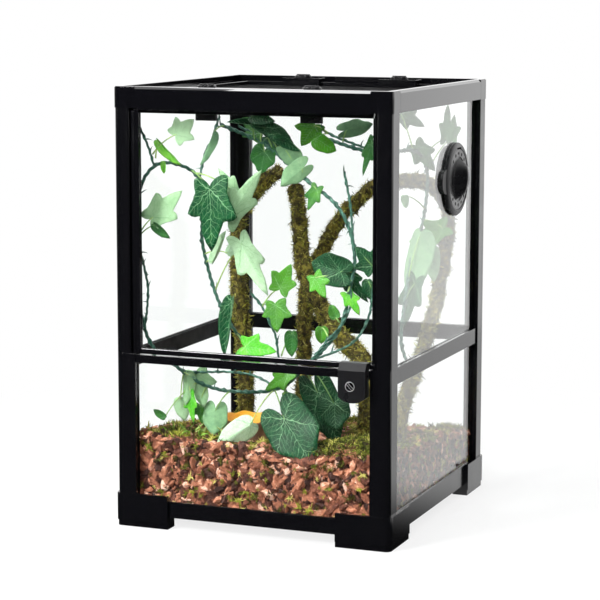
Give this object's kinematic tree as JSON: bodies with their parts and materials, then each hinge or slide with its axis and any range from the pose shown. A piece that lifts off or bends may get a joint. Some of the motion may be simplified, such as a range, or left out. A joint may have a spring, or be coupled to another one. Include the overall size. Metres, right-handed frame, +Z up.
{
  "type": "reptile terrarium",
  "caption": "Tall glass tank in black plastic corner posts and rails, with a locking swing door, a lift-off screen lid, a round feeding port, bark, branches, ivy and a food dish.",
  "frame": {"origin": "centre of the overall box, at the plane the feet stand on", "axes": "+Z up, -Y towards the door, +X towards the pane with the feeding port"},
  "size_m": [0.313, 0.3296, 0.4597],
  "materials": {
    "frame_plastic": "glossy black injection moulding",
    "glass": "clear float glass",
    "steel": "plain steel",
    "screen": "punched steel sheet",
    "bark": "loose red-brown bark chips",
    "dish": "orange cast resin",
    "mossy_wood": "rough branch with moss",
    "leaves": "moulded ivy leaves"
  },
  "bodies": {
    "tank": {"foot_front_left": "frame_plastic", "foot_front_right": "frame_plastic", "foot_back_left": "frame_plastic", "foot_back_right": "frame_plastic", "bottom_rail_front": "frame_plastic", "bottom_rail_back": "frame_plastic", "bottom_rail_left": "frame_plastic", "bottom_rail_right": "frame_plastic", "bottom_glass": "glass", "lower_post_front_left": "frame_plastic", "lower_post_front_right": "frame_plastic", "lower_post_back_left": "frame_plastic", "lower_post_back_right": "frame_plastic", "door_sill": "frame_plastic", "mid_rail_back": "frame_plastic", "mid_rail_left": "frame_plastic", "mid_rail_right": "frame_plastic", "upper_post_front_left": "frame_plastic", "upper_post_front_right": "frame_plastic", "upper_post_back_left": "frame_plastic", "upper_post_back_right": "frame_plastic", "top_rail_front": "frame_plastic", "top_rail_back": "frame_plastic", "top_rail_left": "frame_plastic", "top_rail_right": "frame_plastic", "top_corner_front_left": "frame_plastic", "top_corner_front_right": "frame_plastic", "top_corner_back_left": "frame_plastic", "top_corner_back_right": "frame_plastic", "lower_glass_front": "glass", "lower_glass_back": "glass", "lower_glass_left": "glass", "lower_glass_right": "glass", "upper_glass_back": "glass", "upper_glass_left": "glass", "upper_glass_right": "glass", "port_ring": "frame_plastic", "port_nut": "frame_plastic", "bark_bed": "bark", "food_dish": "dish", "branch_left": "mossy_wood", "branch_middle": "mossy_wood", "branch_right": "mossy_wood", "ivy_garland": "leaves"},
    "door": {"door_glass": "glass", "door_hinge_profile": "frame_plastic", "door_edge_profile": "frame_plastic", "door_bottom_profile": "frame_plastic", "hinge_pins": "steel", "lock_housing": "frame_plastic"},
    "lock": {"lock_cylinder": "steel", "lock_cam": "steel"},
    "lid": {"lid_frame": "frame_plastic", "lid_screen": "screen"},
    "latch_front_left": {"lid_latch_front_left": "frame_plastic"},
    "latch_front_right": {"lid_latch_front_right": "frame_plastic"},
    "latch_back_left": {"lid_latch_back_left": "frame_plastic"},
    "latch_back_right": {"lid_latch_back_right": "frame_plastic"},
    "plug": {"port_plug": "frame_plastic"}
  },
  "joints": [
    {"name": "door_swing", "type": "hinge", "parent": "tank", "child": "door", "pos_m": [-0.1335, -0.1477, 0.3], "axis": [0, 0, -1], "range_deg": [0, 100]},
    {"name": "lock_turn", "type": "hinge", "parent": "door", "child": "lock", "pos_m": [0.107, -0.155, 0.167], "axis": [0, 1, 0], "range_deg": [0, 90]},
    {"name": "lid_lift", "type": "slide", "parent": "tank", "child": "lid", "axis": [0, 0, 1], "range_m": [0, 0.06]},
    {"name": "latch_turn_front_left", "type": "hinge", "parent": "lid", "child": "latch_front_left", "pos_m": [-0.0615, -0.1282, 0.44], "axis": [0, 0, 1], "range_deg": [0, 90]},
    {"name": "latch_turn_front_right", "type": "hinge", "parent": "lid", "child": "latch_front_right", "pos_m": [0.0525, -0.1282, 0.44], "axis": [0, 0, 1], "range_deg": [0, 90]},
    {"name": "latch_turn_back_left", "type": "hinge", "parent": "lid", "child": "latch_back_left", "pos_m": [-0.0615, 0.1378, 0.44], "axis": [0, 0, 1], "range_deg": [0, 90]},
    {"name": "latch_turn_back_right", "type": "hinge", "parent": "lid", "child": "latch_back_right", "pos_m": [0.0525, 0.1378, 0.44], "axis": [0, 0, 1], "range_deg": [0, 90]},
    {"name": "port_turn", "type": "hinge", "parent": "tank", "child": "plug", "pos_m": [0.14, 0.0648, 0.3543], "axis": [1, 0, 0], "range_deg": [0, 60]}
  ]
}
